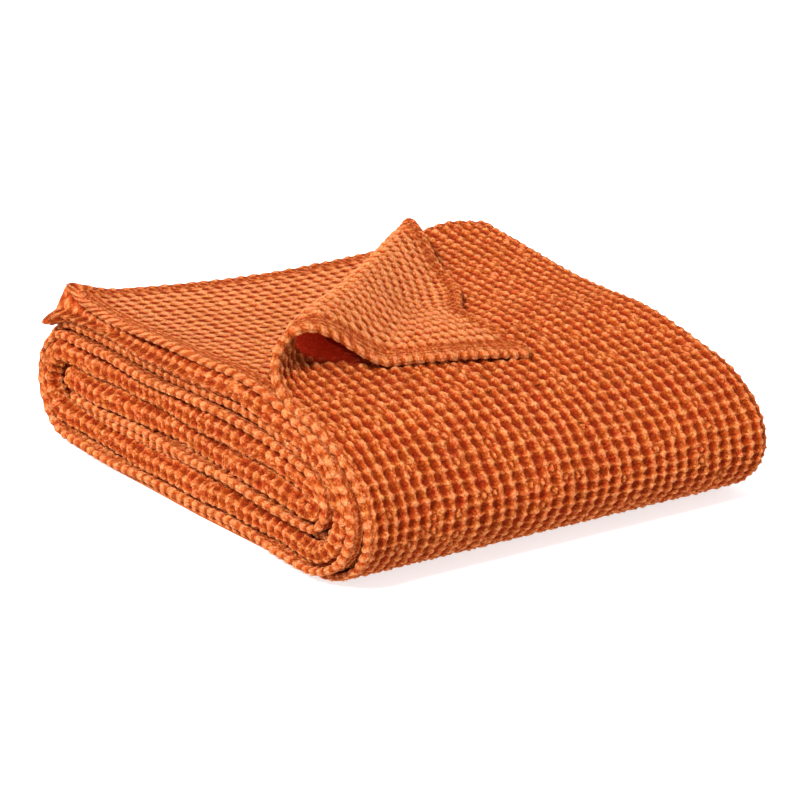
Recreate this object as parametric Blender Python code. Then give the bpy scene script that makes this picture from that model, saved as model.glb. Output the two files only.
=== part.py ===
"""Waffle weave cotton throw, folded into a soft pad with one corner turned back.

The throw is one cut cloth.  It is folded into quarters across its width, which gives a strip
of four layers A, B, C and D, and the strip is then wrapped flat four times.  A's side hem and
B's side hem lie at the left end of the pad, the folds of the strip at both ends, and the long
outer fold faces forward.  A's free corner is rolled back over the top of the pad.

Metres, +Z up.  The pad lies on z = 0, and its origin is the middle of the floor under it.
X runs along the long outer fold, and -Y is the side of that fold.
"""
import math
from collections import namedtuple

import bpy
import numpy as np

# The cloth and the pad it is folded into
THROW_WIDTH = 1.30             # cut width, which is folded into quarters
QUARTERS = 4
PASSES = 4                     # times that the strip crosses the pad
PAD_DEPTH = 0.390              # front of the outer fold to the back fold
PAD_HEIGHT = 0.116             # at the back, where the pad is highest
CLOTH = 0.0046                 # thickness of the waffle cloth

PAD_LENGTH = THROW_WIDTH / QUARTERS
PITCH = PAD_HEIGHT / (QUARTERS * PASSES)       # one layer and the air beside it
STRIP = PITCH * QUARTERS                       # thickness of the four-layer strip
FLOOR = (PITCH - CLOTH) / 2                    # the air under the lowest layer, left out

# Where the strip starts, turns and ends, along Y
TOP_END_A = 0.130              # end hem of A, at the back of the top
TOP_END_B = 0.154              # B's and C's end hems lie further back at the left
TOP_END_D = 0.174              # D's end hangs over the back fold there
NEAR_TURN_Y = -PAD_DEPTH / 2 + STRIP * 2
BACK_TURN_Y = PAD_DEPTH / 2 - STRIP * 1.5
INNER_END_Y = 0.148            # end hems inside the pad

# Where the layers of the strip stop at the left end, measured from the left end of the pad
HEM_A_INSET = 0.004
HEM_B_INSET = -0.002
FOLD_INSET = 0.000
HEM_WAVE = 0.0022              # how far the hems wander in and out

# The pad slopes down towards its front: share of its height lost there at each end
FRONT_LOSS_LEFT = 0.24
FRONT_LOSS_RIGHT = 0.20
SLOPE_LENGTH = 0.150
SHOULDER_LOSS = 0.12           # the right end is lower by this share up to its back corner
SHOULDER_START = 0.170
SHOULDER_LENGTH = 0.180
SWELL = 0.0020                 # slow rise and fall of the top
BACK_SAG = 0.008               # dip of the top's back edge between its two corners
BACK_SAG_AT = -0.025
BACK_RISE = 0.005              # a low hump of the end hems near the right corner
BACK_RISE_AT = (0.122, 0.135)
BACK_RISE_SIZE = 0.022
BACK_SPREAD = 0.045            # how much wider than its middle the pad is at its back
FRONT_SHIFT = 0.010            # how far the front lies to the left of the back
CORNER_LIFT = 0.009            # B's back left corner stands up
CORNER_SIZE = 0.022

# The turned-back corner of A.  It is rolled round a slim cone that lies on the pad: the cone
# narrows towards a point behind the end hem, and the places below are measured from the corner.
CONE_POINT_ALONG = 0.3176      # along the end hem
CONE_POINT_BEHIND = 0.0501     # behind the end hem
CURL_ON_SIDE_HEM = 0.2513      # where the curl starts on the side hem
CURL_RADIUS_FRONT = 0.0167     # at the side hem
CURL_RADIUS_BACK = 0.0088      # at the end hem
FLAP_BOW = 0.221               # how far the end hem of the flap is drawn in, as a share
FLAP_BOW_SHAPE = 0.454         # under 1, it is drawn in most towards the cone's point
FLAP_DENT = 0.215              # and once more at one place
FLAP_DENT_AT = 0.549
FLAP_DENT_SIZE = 0.1135
FLAP_REST = 0.0062             # middle of A's laid-back part above the middle of A below it
FLAP_SETTLE_FRONT = 0.0451     # distance in which the flap comes down to that height
FLAP_SETTLE_BACK = 0.0360

Run = namedtuple("Run", "layer start end offset steps")
Turn = namedtuple("Turn", "centre_x centre_offset radius start_angle end_angle steps")
Pass = namedtuple("Pass", "name start end height normal_angle steps")
Bend = namedtuple("Bend", "name centre_y centre_z radius start_angle end_angle steps")


def smooth(value):
    """0 below 0, 1 above 1, and a soft S between."""
    value = np.clip(value, 0.0, 1.0)
    return value * value * (3.0 - 2.0 * value)


def strip_rows(left_a, left_b, left_fold):
    """The quarter fold seen from its end: A's hem first, B's hem last."""
    right = PAD_LENGTH / 2 - 1.5 * PITCH - CLOTH / 2
    turn = left_fold + PITCH / 2
    return [
        Run("A", left_a, right, 1.5 * PITCH, 16),
        Turn(right, 0.0, 1.5 * PITCH, 90, -90, 6),
        Run("D", right, turn, -1.5 * PITCH, 2),
        Turn(turn, -PITCH, 0.5 * PITCH, 270, 90, 4),
        Run("C", turn, right, -0.5 * PITCH, 2),
        Turn(right, 0.0, 0.5 * PITCH, -90, 90, 4),
        Run("B", right, left_b, 0.5 * PITCH, 6),
    ]


def strip_outline(along):
    """Closed outline of the strip's cloth at one place along the wrap.

    Each point is (x, offset of the cloth's middle, offset from that middle, layer is A).
    """
    wave = HEM_WAVE * math.sin(along * 31.0)
    left = -PAD_LENGTH / 2
    left_a = left + HEM_A_INSET + HEM_WAVE * math.sin(along * 17.0 + 1.0)
    left_b = left + HEM_B_INSET + HEM_WAVE * math.sin(along * 23.0 + 2.5)
    middle = []
    for row in strip_rows(left_a, left_b, left + FOLD_INSET + wave):
        first = 1 if middle else 0
        if isinstance(row, Run):
            facing = 1.0 if row.end > row.start else -1.0
            for i in range(first, row.steps + 1):
                x = row.start + (row.end - row.start) * i / row.steps
                middle.append((x, row.offset, 0.0, facing, row.layer == "A"))
        else:
            bulge = 1.0 if row.end_angle < row.start_angle else -1.0
            for i in range(first, row.steps + 1):
                angle = row.start_angle + (row.end_angle - row.start_angle) * i / row.steps
                c, s = math.cos(math.radians(angle)), math.sin(math.radians(angle))
                middle.append((row.centre_x + row.radius * c, row.centre_offset + row.radius * s,
                               bulge * c, bulge * s, False))
    half = CLOTH / 2
    outer = [(x + nx * half, n + nn * half, is_a) for x, n, nx, nn, is_a in middle]
    inner = [(x - nx * half, n - nn * half, is_a) for x, n, nx, nn, is_a in middle]
    hem_a = (middle[0][0] - half * 0.8, middle[0][1], True)
    hem_b = (middle[-1][0] - half * 0.8, middle[-1][1], False)
    return outer, hem_b, inner, hem_a


def wrap_rows():
    """The route of the strip's middle, seen from the left end, from the top end hems inwards."""
    return [
        Pass("top", TOP_END_A, NEAR_TURN_Y, 3.5 * STRIP, 90, 21),
        Bend("front fold", NEAR_TURN_Y, 2.0 * STRIP, 1.5 * STRIP, 90, 270, 8),
        Pass("bottom", NEAR_TURN_Y, BACK_TURN_Y, 0.5 * STRIP, 270, 5),
        Bend("back fold", BACK_TURN_Y, 1.5 * STRIP, 1.0 * STRIP, 270, 450, 7),
        Pass("third", BACK_TURN_Y, NEAR_TURN_Y, 2.5 * STRIP, 90, 5),
        Bend("inner fold", NEAR_TURN_Y, 2.0 * STRIP, 0.5 * STRIP, 90, 270, 5),
        Pass("fourth", NEAR_TURN_Y, INNER_END_Y, 1.5 * STRIP, 270, 4),
    ]


def wrap_stations():
    """Places along the wrap: (y, z, normal y, normal z, distance along, is on the top)."""
    stations = []
    along = 0.0
    for row in wrap_rows():
        first = 1 if stations else 0
        for i in range(first, row.steps + 1):
            share = i / row.steps
            if isinstance(row, Pass):
                angle = math.radians(row.normal_angle)
                y, z = row.start + (row.end - row.start) * share, row.height
            else:
                angle = math.radians(row.start_angle + (row.end_angle - row.start_angle) * share)
                y = row.centre_y + row.radius * math.cos(angle)
                z = row.centre_z + row.radius * math.sin(angle)
            if stations:
                along += math.hypot(y - stations[-1][0], z - stations[-1][1])
            stations.append((y, z, math.cos(angle), math.sin(angle), along, row.name == "top"))
    return stations


def settle(x, y, z):
    """Lower the pad towards its front and give its top slow swells; the floor stays flat."""
    z = z - FLOOR
    rightness = x / PAD_LENGTH + 0.5
    from_front = y + PAD_DEPTH / 2
    slope = 1.0 - smooth(from_front / SLOPE_LENGTH)
    shoulder = 1.0 - smooth((from_front - SHOULDER_START) / SHOULDER_LENGTH)
    left_loss = FRONT_LOSS_LEFT * slope
    right_loss = FRONT_LOSS_RIGHT * slope + SHOULDER_LOSS * shoulder
    scale = 1.0 - left_loss * (1.0 - rightness) - right_loss * rightness
    swell = SWELL * math.sin(19.0 * x + 0.6) * math.sin(15.0 * y + 1.1)
    backness = float(smooth(from_front / PAD_DEPTH))
    swell -= BACK_SAG * math.cos(math.pi * (x - BACK_SAG_AT) / PAD_LENGTH) ** 2 * backness
    from_rise = math.hypot(x - BACK_RISE_AT[0], y - BACK_RISE_AT[1]) / BACK_RISE_SIZE
    swell += BACK_RISE * math.exp(-from_rise ** 2)
    x = x * (1.0 + BACK_SPREAD * y / (PAD_DEPTH / 2)) - FRONT_SHIFT * (0.5 - y / PAD_DEPTH)
    return x, y, z * scale + swell * (z / PAD_HEIGHT) ** 2


def stagger(x, offset, y, z):
    """At the left, carry the ends of the lower layers further back, D's over the back fold."""
    leftness = 0.5 - x / PAD_LENGTH
    further = np.interp(-offset / PITCH, (-1.5, -0.5, 0.5, 1.5),
                        (0.0, TOP_END_B - TOP_END_A, TOP_END_B - TOP_END_A, TOP_END_D - TOP_END_A))
    y = y + further * leftness * (y - NEAR_TURN_Y) / (TOP_END_A - NEAR_TURN_Y)
    over = max(y - BACK_TURN_Y, 0.0)
    corner = math.hypot(x + PAD_LENGTH / 2, TOP_END_B - y) / CORNER_SIZE
    lift = CORNER_LIFT * math.exp(-corner ** 2) * float(smooth(offset / PITCH + 0.5))
    return y, z - over ** 2 / (3.0 * STRIP) + lift


def roll_back(x, y, lift, left):
    """Roll the corner of A round the cone and lay it back on the pad."""
    point = np.array((left + CONE_POINT_ALONG, TOP_END_A + CONE_POINT_BEHIND))
    start = np.array((left, TOP_END_A - CURL_ON_SIDE_HEM)) - point
    front = float(np.hypot(*start))
    start /= front
    spoke = np.array((x, y)) - point
    reach = float(np.hypot(*spoke))
    past = math.atan2(spoke[1], -spoke[0]) - math.atan2(start[1], -start[0])
    if past <= 0.0:
        return x, y, lift
    share = (reach - CONE_POINT_BEHIND) / (front - CONE_POINT_BEHIND)
    share = min(max(share, 0.0), 1.0)
    radius = CURL_RADIUS_BACK + (CURL_RADIUS_FRONT - CURL_RADIUS_BACK) * share
    turn = min(past * reach / radius, math.pi)
    laid = max(past - math.pi * radius / reach, 0.0)
    dent = math.exp(-((share - FLAP_DENT_AT) / FLAP_DENT_SIZE) ** 2)
    laid *= 1.0 - FLAP_BOW * math.sin(math.pi * share ** FLAP_BOW_SHAPE) - FLAP_DENT * dent
    away = math.atan2(start[1], start[0]) + laid
    along = np.array((math.cos(away), math.sin(away)))
    across = np.array((-along[1], along[0]))       # away from the corner
    settle_length = FLAP_SETTLE_BACK + (FLAP_SETTLE_FRONT - FLAP_SETTLE_BACK) * share
    rest = radius * 2.0 + (FLAP_REST - radius * 2.0) * float(smooth(laid * reach / settle_length))
    height = radius * (1.0 - math.cos(turn)) if laid == 0.0 else rest
    place = point + along * reach - across * (radius - lift) * math.sin(turn)
    return place[0], place[1], height + lift * math.cos(turn)


def cloth_point(x, offset, is_a, station):
    """One point of the cloth in the finished pad."""
    y, z, normal_y, normal_z, _, on_top = station
    if is_a and on_top:
        middle_z = z + 1.5 * PITCH
        left = -PAD_LENGTH / 2 + HEM_A_INSET
        x, y, lift = roll_back(x, y, offset - 1.5 * PITCH, left)
        x, y, middle_z = settle(x, y, middle_z)
        return x, y, middle_z + lift
    y, z = y + normal_y * offset, z + normal_z * offset
    if on_top:
        y, z = stagger(x, offset, y, z)
    return settle(x, y, z)


def cloth_mesh(name):
    """Sweep the folded strip along the wrap, close its two ends and centre it on the floor."""
    points, faces = [], []
    rings = []
    for station in wrap_stations():
        outer, hem_b, inner, hem_a = strip_outline(station[4])
        ring = outer + [hem_b] + inner[::-1] + [hem_a]
        rings.append(len(points))
        points.extend(cloth_point(x, offset, is_a, station) for x, offset, is_a in ring)
    around = len(ring)
    for start, following in zip(rings, rings[1:]):
        for i in range(around):
            j = (i + 1) % around
            faces.append((start + i, following + i, following + j, start + j))
    side = len(outer)
    for start, turned in ((rings[0], False), (rings[-1], True)):
        cap = [(start + around - 1, start, start + around - 2),
               (start + side - 1, start + side, start + side + 1)]
        for i in range(side - 1):
            j = around - 2 - i
            cap.append((start + i, start + i + 1, start + j - 1, start + j))
        faces.extend(tuple(reversed(face)) if turned else face for face in cap)
    points = np.array(points)
    points[:, :2] -= (points[:, :2].min(axis=0) + points[:, :2].max(axis=0)) / 2
    mesh = bpy.data.meshes.new(name)
    mesh.from_pydata(points.tolist(), [], faces)
    mesh.validate()
    return mesh


def cotton():
    """Plain orange cotton."""
    material = bpy.data.materials.new("orange cotton")
    material.use_nodes = True
    shader = material.node_tree.nodes["Principled BSDF"]
    shader.inputs["Base Color"].default_value = (0.80, 0.17, 0.045, 1.0)
    shader.inputs["Roughness"].default_value = 0.9
    shader.inputs["Metallic"].default_value = 0.0
    return material


def build():
    for old in list(bpy.data.objects):
        bpy.data.objects.remove(old, do_unlink=True)
    collection = bpy.data.collections.new("waffle throw")
    bpy.context.scene.collection.children.link(collection)
    mesh = cloth_mesh("blanket")
    mesh.materials.append(cotton())
    blanket = bpy.data.objects.new("blanket", mesh)
    collection.objects.link(blanket)
    mesh.shade_smooth()
    mesh.set_sharp_from_angle(angle=math.radians(40))


build()
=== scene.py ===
import math

import bpy
import numpy as np
from mathutils import Matrix, Vector


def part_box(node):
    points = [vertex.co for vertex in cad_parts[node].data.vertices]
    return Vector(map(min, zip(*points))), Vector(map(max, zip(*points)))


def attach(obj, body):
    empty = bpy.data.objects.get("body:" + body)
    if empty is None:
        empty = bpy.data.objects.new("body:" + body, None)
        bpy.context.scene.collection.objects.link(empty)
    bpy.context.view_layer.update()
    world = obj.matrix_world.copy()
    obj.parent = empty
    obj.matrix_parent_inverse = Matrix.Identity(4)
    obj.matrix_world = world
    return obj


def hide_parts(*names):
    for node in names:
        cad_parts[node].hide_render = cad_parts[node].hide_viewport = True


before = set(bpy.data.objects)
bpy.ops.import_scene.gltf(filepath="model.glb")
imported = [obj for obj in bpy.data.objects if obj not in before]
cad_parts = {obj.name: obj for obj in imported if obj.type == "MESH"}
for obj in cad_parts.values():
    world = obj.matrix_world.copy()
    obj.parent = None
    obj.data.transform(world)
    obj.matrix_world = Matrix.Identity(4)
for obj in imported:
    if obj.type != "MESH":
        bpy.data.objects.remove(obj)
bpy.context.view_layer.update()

# The cloth, in metres
throw = {
    "width": 1.30,           # folded into quarters
    "thickness": 0.0046,
    "cell": 0.00915,         # one square of the waffle
    "edgeRadius": 0.0027,    # rounding of the turned hems
    "hemBand": 0.014,        # width of a turned hem on the reverse
    "foldSurface": 0.0033,   # how far the outside of a fold is from the middle of the cloth
    "cornerRadius": 0.010,   # the cloth's own corners are blunt
    "tightWidth": 0.055,     # beside A's hem the squares are narrower
    "tightCells": 1.05,      # so this many more fit in
}

# The pad it is folded into, the same as in the solid
pad = {
    "depth": 0.390,
    "height": 0.116,
    "layers": 16,
    "topEndA": 0.130,        # where the layers of the strip end on the top
    "topEndB": 0.154,
    "topEndD": 0.174,
    "innerEnd": 0.148,
    "hemInsetA": 0.004,      # where the layers stop at the left end
    "hemInsetB": -0.002,
    "foldInset": 0.001,
    "hemWave": 0.0022,
    "frontLossLeft": 0.24,   # slope of the top towards the front
    "frontLossRight": 0.20,
    "slopeLength": 0.150,
    "shoulderLoss": 0.12,    # the right end is lower up to its back corner
    "shoulderStart": 0.170,
    "shoulderLength": 0.180,
    "swell": 0.0020,
    "backSag": 0.008,        # the back edge dips between its corners
    "backSagAt": -0.025,
    "backRise": 0.005,
    "backRiseAt": (0.122, 0.135),
    "backRiseSize": 0.022,
    "backSpread": 0.045,     # wider at the back
    "frontShift": 0.010,     # and a little to the left at the front
    "overhang": 3.0,         # the larger, the less the ends droop past the back fold
    "cornerLift": 0.009,     # B's corner stands up
    "cornerSize": 0.022,
    "looseSize": 0.018,      # D's corner droops and stands out
    "looseOut": 0.0045,
    "looseDrop": 0.0025,
}

# The corner of the top layer, rolled back round a slim cone
turnedCorner = {
    "pointAlong": 0.3176,        # the cone's point, from A's side hem and behind its end hem
    "pointBehind": 0.0501,
    "startOnSideHem": 0.2513,    # how much of the side hem is rolled back
    "radiusFront": 0.0167,
    "radiusBack": 0.0088,
    "bow": 0.221,                # share of the turn that the rolled cloth holds back
    "bowShape": 0.454,
    "dent": 0.215,
    "dentAt": 0.549,
    "dentSize": 0.1135,
    "rest": 0.0062,              # height of the cloth where it lies on the pad again
    "settleFront": 0.0451,
    "settleBack": 0.0360,
}

# Deep inside the rolled corner, where light only comes through the cloth, red shade and a glow are painted:
# place and fade
curlShadeArea = {
    "acrossStart": (0.022, 0.010),
    "acrossEnd": (0.066, 0.020),
    "alongStart": (0.016, 0.012),
    "alongEnd": (0.184, 0.012),
    "lean": 0.50,                # how much later it ends for each metre across
}

# The left end of the pad, where the folds are fuller and press the hems together
leftEnd = {
    "foldRadius": 0.0060,
    "foldCentre": -0.0062,
    "reach": 0.030,          # how far in from the end the layers are pushed
    "riseA": 0.0006,
    "riseB": 0.0019,
    "sway": 0.0007,          # how unevenly they press each other
    "quickSway": 0.6,        # share of it in the shorter waves
    "foldSpan": 1.6,         # round the folds the weave is fuller, over this many fades
    "foldFade": 0.010,
}

# The layers don't lie quite evenly: waves in radians to a metre, and where each starts
waves = {
    "hemA": (17.0, 1.0),
    "foldD": (31.0, 0.0),
    "hemB": (23.0, 2.5),
    "sway": (43.0, 0.0),
    "quickSway": (97.0, 1.0),
    "riseA": (37.0, 2.0),
    "riseB": (61.0, 0.5),
    "swellAcross": (19.0, 0.6),
    "swellAlong": (15.0, 1.1),
}

# The surface round a turned hem
hemShape = {
    "angles": (0.0, 25.0, 45.0, 65.0),   # of the grid lines round the edge
    "bluntness": 0.95,
    "edgeShare": 0.22,                   # half the thickness at the very edge, as a share of edgeRadius
    "probe": 0.004,                      # a step inwards, to find which way the edge faces
    "lift": 0.0002,                      # a step outwards, to find which way the surface faces
}

cellSize = throw["cell"]
quarter = throw["width"] / 4
pitch = pad["height"] / pad["layers"]
outer, inner = 1.5 * pitch, 0.5 * pitch      # middles of the strip's layers, from its own middle
strip = pitch * 4
halfCloth = throw["thickness"] / 2
floorGap = (pitch - throw["thickness"]) / 2
leftX = -quarter / 2
rightX = quarter / 2 - outer - halfCloth
nearTurn = -pad["depth"] / 2 + strip * 2
backTurn = pad["depth"] / 2 - strip * 1.5


def smooth(value):
    value = np.clip(value, 0.0, 1.0)
    return value * value * (3.0 - 2.0 * value)


def wave(name, distance):
    frequency, start = waves[name]
    return np.sin(distance * frequency + start)


# The route of the cloth through the strip, seen from the left end: A's hem first, B's hem last.
# countedAt is the level, in pitches, where the squares of each row are counted along the wrap
foldX = leftX + pad["foldInset"] + leftEnd["foldRadius"]
routeAcross = [
    {"name": "A", "from": leftX + pad["hemInsetA"], "to": rightX, "offset": outer,
     "countedAt": (1.5, 1.5)},
    {"name": "rightFold", "x": rightX, "centre": 0.0, "radius": outer, "angles": (90, -90),
     "countedAt": (1.5, 1.5)},
    {"name": "D", "from": rightX, "to": foldX, "offset": -outer, "countedAt": (1.5, -1.0)},
    {"name": "leftFold", "x": foldX, "centre": leftEnd["foldCentre"],
     "radius": leftEnd["foldRadius"], "angles": (270, 90), "countedAt": (-1.0, -1.0)},
    {"name": "C", "from": foldX, "to": rightX, "offset": -inner, "countedAt": (-1.0, 0.5)},
    {"name": "innerFold", "x": rightX, "centre": 0.0, "radius": inner, "angles": (-90, 90),
     "countedAt": (0.5, 0.5)},
    {"name": "B", "from": rightX, "to": leftX + pad["hemInsetB"], "offset": inner,
     "countedAt": (0.5, 0.5)},
]

# The route of the strip round the pad, from the hems on the top to those inside
routeAlong = [
    {"name": "top", "from": pad["topEndA"], "to": nearTurn, "height": 3.5 * strip, "angle": 90},
    {"name": "frontFold", "y": nearTurn, "z": 2.0 * strip, "radius": 1.5 * strip, "angles": (90, 270)},
    {"name": "bottom", "from": nearTurn, "to": backTurn, "height": 0.5 * strip, "angle": 270},
    {"name": "backFold", "y": backTurn, "z": 1.5 * strip, "radius": 1.0 * strip, "angles": (270, 450)},
    {"name": "third", "from": backTurn, "to": nearTurn, "height": 2.5 * strip, "angle": 90},
    {"name": "innerFold", "y": nearTurn, "z": 2.0 * strip, "radius": 0.5 * strip, "angles": (90, 270)},
    {"name": "fourth", "from": nearTurn, "to": pad["innerEnd"], "height": 1.5 * strip, "angle": 270},
]


def rowLength(row):
    if "radius" in row:
        return abs(math.radians(row["angles"][1] - row["angles"][0])) * row["radius"]
    return abs(row["to"] - row["from"])


def rowStarts(route):
    ends = np.cumsum([rowLength(row) for row in route])
    return {row["name"]: float(end - rowLength(row)) for row, end in zip(route, ends)}, float(ends[-1])


acrossAt, acrossEnd = rowStarts(routeAcross)
alongAt, alongEnd = rowStarts(routeAlong)


def locate(route, distance):
    # the row that holds each distance, and the share of the way through it
    lengths = np.array([rowLength(row) for row in route])
    ends = np.cumsum(lengths)
    which = np.minimum(np.searchsorted(ends, distance, side="right"), len(route) - 1)
    share = (distance - (ends - lengths)[which]) / lengths[which]
    return which, np.clip(share, 0.0, 1.0)


def turnedAngle(along):
    # radians that the strip has turned through by then
    which, share = locate(routeAlong, along)
    turns = np.array([math.radians(abs(row["angles"][1] - row["angles"][0])) if "radius" in row else 0.0
                      for row in routeAlong])
    before = np.cumsum(turns) - turns
    return before[which] + turns[which] * share


def stripPoint(across, along):
    # place in the strip's section and the direction that the cloth's face looks there
    which, share = locate(routeAcross, across)
    x = np.zeros_like(share)
    offset = np.zeros_like(share)
    normalX = np.zeros_like(share)
    normalOffset = np.zeros_like(share)
    foldWave = pad["hemWave"] * wave("foldD", along)
    wander = {
        "A": (pad["hemWave"] * wave("hemA", along), 0.0),
        "D": (0.0, foldWave),
        "leftFold": (foldWave, foldWave),
        "C": (foldWave, 0.0),
        "B": (0.0, pad["hemWave"] * wave("hemB", along)),
    }
    sway = leftEnd["sway"] * (wave("sway", along) + leftEnd["quickSway"] * wave("quickSway", along))
    rises = {
        "A": leftEnd["riseA"] + leftEnd["sway"] * wave("riseA", along),
        "B": leftEnd["riseB"] + leftEnd["sway"] * wave("riseB", along),
        "C": leftEnd["foldCentre"] + leftEnd["foldRadius"] + inner + sway,
        "D": leftEnd["foldCentre"] - leftEnd["foldRadius"] + outer + sway,
    }
    for number, row in enumerate(routeAcross):
        here = which == number
        if "radius" in row:
            start, end = (math.radians(a) for a in row["angles"])
            angle = start + (end - start) * share
            bulge = 1.0 if end < start else -1.0
            rowX = row["x"] + row["radius"] * np.cos(angle)
            rowOffset = row["centre"] + row["radius"] * np.sin(angle)
            rowOffset = rowOffset + (sway if row["name"] == "leftFold" else 0.0)
            rowNormal = bulge * np.cos(angle), bulge * np.sin(angle)
        else:
            rowX = row["from"] + (row["to"] - row["from"]) * share
            nearness = smooth((leftEnd["reach"] - (rowX - leftX)) / leftEnd["reach"])
            rowOffset = row["offset"] + rises[row["name"]] * nearness
            rowNormal = 0.0, (1.0 if row["to"] > row["from"] else -1.0)
        if row["name"] in wander:
            first, last = wander[row["name"]]
            rowX = rowX + first * (1.0 - share) + last * share
        x = np.where(here, rowX, x)
        offset = np.where(here, rowOffset, offset)
        normalX = np.where(here, rowNormal[0], normalX)
        normalOffset = np.where(here, rowNormal[1], normalOffset)
    return x, offset, normalX, normalOffset, which == 0


def wrapPoint(along):
    # place of the strip's middle in the pad's section, and the direction of its outside
    which, share = locate(routeAlong, along)
    y, z = np.zeros_like(share), np.zeros_like(share)
    angle = np.zeros_like(share)
    for number, row in enumerate(routeAlong):
        here = which == number
        if "radius" in row:
            start, end = (math.radians(a) for a in row["angles"])
            rowAngle = start + (end - start) * share
            rowY = row["y"] + row["radius"] * np.cos(rowAngle)
            rowZ = row["z"] + row["radius"] * np.sin(rowAngle)
        else:
            rowAngle = math.radians(row["angle"])
            rowY = row["from"] + (row["to"] - row["from"]) * share
            rowZ = row["height"]
        y = np.where(here, rowY, y)
        z = np.where(here, rowZ, z)
        angle = np.where(here, rowAngle, angle)
    return y, z, np.cos(angle), np.sin(angle), which == 0


def settle(x, y, z):
    # the pad slopes to its front and swells a little, and its floor stays flat
    z = z - floorGap
    rightness = x / quarter + 0.5
    fromFront = y + pad["depth"] / 2
    slope = 1.0 - smooth(fromFront / pad["slopeLength"])
    shoulder = 1.0 - smooth((fromFront - pad["shoulderStart"]) / pad["shoulderLength"])
    rightLoss = pad["frontLossRight"] * slope + pad["shoulderLoss"] * shoulder
    scale = 1.0 - pad["frontLossLeft"] * slope * (1.0 - rightness) - rightLoss * rightness
    swell = pad["swell"] * wave("swellAcross", x) * wave("swellAlong", y)
    sag = np.cos(math.pi * (x - pad["backSagAt"]) / quarter) ** 2
    swell = swell - pad["backSag"] * sag * smooth(fromFront / pad["depth"])
    fromRise = np.hypot(x - pad["backRiseAt"][0], y - pad["backRiseAt"][1]) / pad["backRiseSize"]
    swell = swell + pad["backRise"] * np.exp(-fromRise ** 2)
    shift = pad["frontShift"] * (0.5 - y / pad["depth"])
    x = x * (1.0 + pad["backSpread"] * y / (pad["depth"] / 2)) - shift
    return x, y, z * scale + swell * (z / pad["height"]) ** 2


def stagger(x, offset, y, z):
    # on the top, the lower layers end further back at the left
    leftness = 0.5 - x / quarter
    furtherB = pad["topEndB"] - pad["topEndA"]
    furtherD = pad["topEndD"] - pad["topEndA"]
    further = np.interp(-offset / pitch, (-1.5, -0.5, 0.5, 1.5), (0.0, furtherB, furtherB, furtherD))
    y = y + further * leftness * (y - nearTurn) / (pad["topEndA"] - nearTurn)
    over = np.maximum(y - backTurn, 0.0)

    def nearCorner(end, size):
        return np.exp(-(np.hypot(x + quarter / 2, end - y) / size) ** 2)

    lift = pad["cornerLift"] * nearCorner(pad["topEndB"], pad["cornerSize"]) * smooth(offset / pitch + 0.5)
    loose = nearCorner(pad["topEndD"], pad["looseSize"]) * smooth(0.5 - offset / pitch)
    return (x - pad["looseOut"] * loose, y,
            z - over ** 2 / (pad["overhang"] * strip) + lift - pad["looseDrop"] * loose)


def rollBack(x, y, lift):
    # the corner of A rolls round the cone and lies back on the pad
    corner = turnedCorner
    hemX = leftX + pad["hemInsetA"]
    pointX, pointY = hemX + corner["pointAlong"], pad["topEndA"] + corner["pointBehind"]
    startX, startY = hemX - pointX, pad["topEndA"] - corner["startOnSideHem"] - pointY
    front = math.hypot(startX, startY)
    startAngle = math.atan2(startY, startX)
    reach = np.hypot(x - pointX, y - pointY)
    past = np.arctan2(y - pointY, pointX - x) - math.atan2(startY, -startX)
    share = np.clip((reach - corner["pointBehind"]) / (front - corner["pointBehind"]), 0.0, 1.0)
    radius = corner["radiusBack"] + (corner["radiusFront"] - corner["radiusBack"]) * share
    turn = np.clip(past * reach / radius, 0.0, math.pi)
    laid = np.maximum(past - math.pi * radius / reach, 0.0)
    dent = corner["dent"] * np.exp(-((share - corner["dentAt"]) / corner["dentSize"]) ** 2)
    laid = laid * (1.0 - corner["bow"] * np.sin(math.pi * share ** corner["bowShape"]) - dent)
    away = startAngle + laid
    settleLength = corner["settleBack"] + (corner["settleFront"] - corner["settleBack"]) * share
    rest = radius * 2.0 + (corner["rest"] - radius * 2.0) * smooth(laid * reach / settleLength)
    height = np.where(laid == 0.0, radius * (1.0 - np.cos(turn)), rest)
    side = (radius - lift) * np.sin(turn)
    rolledX = pointX + np.cos(away) * reach + np.sin(away) * side
    rolledY = pointY + np.sin(away) * reach - np.cos(away) * side
    rolled = past > 0.0
    return (np.where(rolled, rolledX, x), np.where(rolled, rolledY, y),
            np.where(rolled, height + lift * np.cos(turn), lift))


def clothPoint(across, along, lift):
    # a point of the cloth in the pad, lift metres out from the middle of the cloth
    x, offset, normalX, normalOffset, isA = stripPoint(across, along)
    x, offset = x + normalX * lift, offset + normalOffset * lift
    y, z, normalY, normalZ, onTop = wrapPoint(along)
    rolledX, rolledY, rolledLift = rollBack(x, y, offset - outer)
    topX, topY, topZ = settle(rolledX, rolledY, z + outer)
    topZ = topZ + rolledLift
    outY, outZ = y + normalY * offset, z + normalZ * offset
    fannedX, fannedY, fannedZ = stagger(x, offset, outY, outZ)
    outY, outZ = np.where(onTop, fannedY, outY), np.where(onTop, fannedZ, outZ)
    plainX, plainY, plainZ = settle(np.where(onTop, fannedX, x), outY, outZ)
    free = isA & onTop
    return np.stack((np.where(free, topX, plainX), np.where(free, topY, plainY),
                     np.where(free, topZ, plainZ)), axis=-1)


def curlShadeAndGlow(across, along, side):
    # 1 in the deep part of the rolled corner, on the face of the cloth, where red shade and a glow are
    # painted
    def past(distance, name):
        start, fade = curlShadeArea[name]
        return smooth((distance - start) / fade)

    end, fade = curlShadeArea["alongEnd"]
    deep = smooth((end + curlShadeArea["lean"] * across - along) / fade) * past(across, "acrossStart")
    deep = deep * past(along, "alongStart")
    return deep * (1.0 - past(across, "acrossEnd")) * (side > 0.0)


def unit(vectors):
    return vectors / np.maximum(np.linalg.norm(vectors, axis=-1, keepdims=True), 1e-12)


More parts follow.
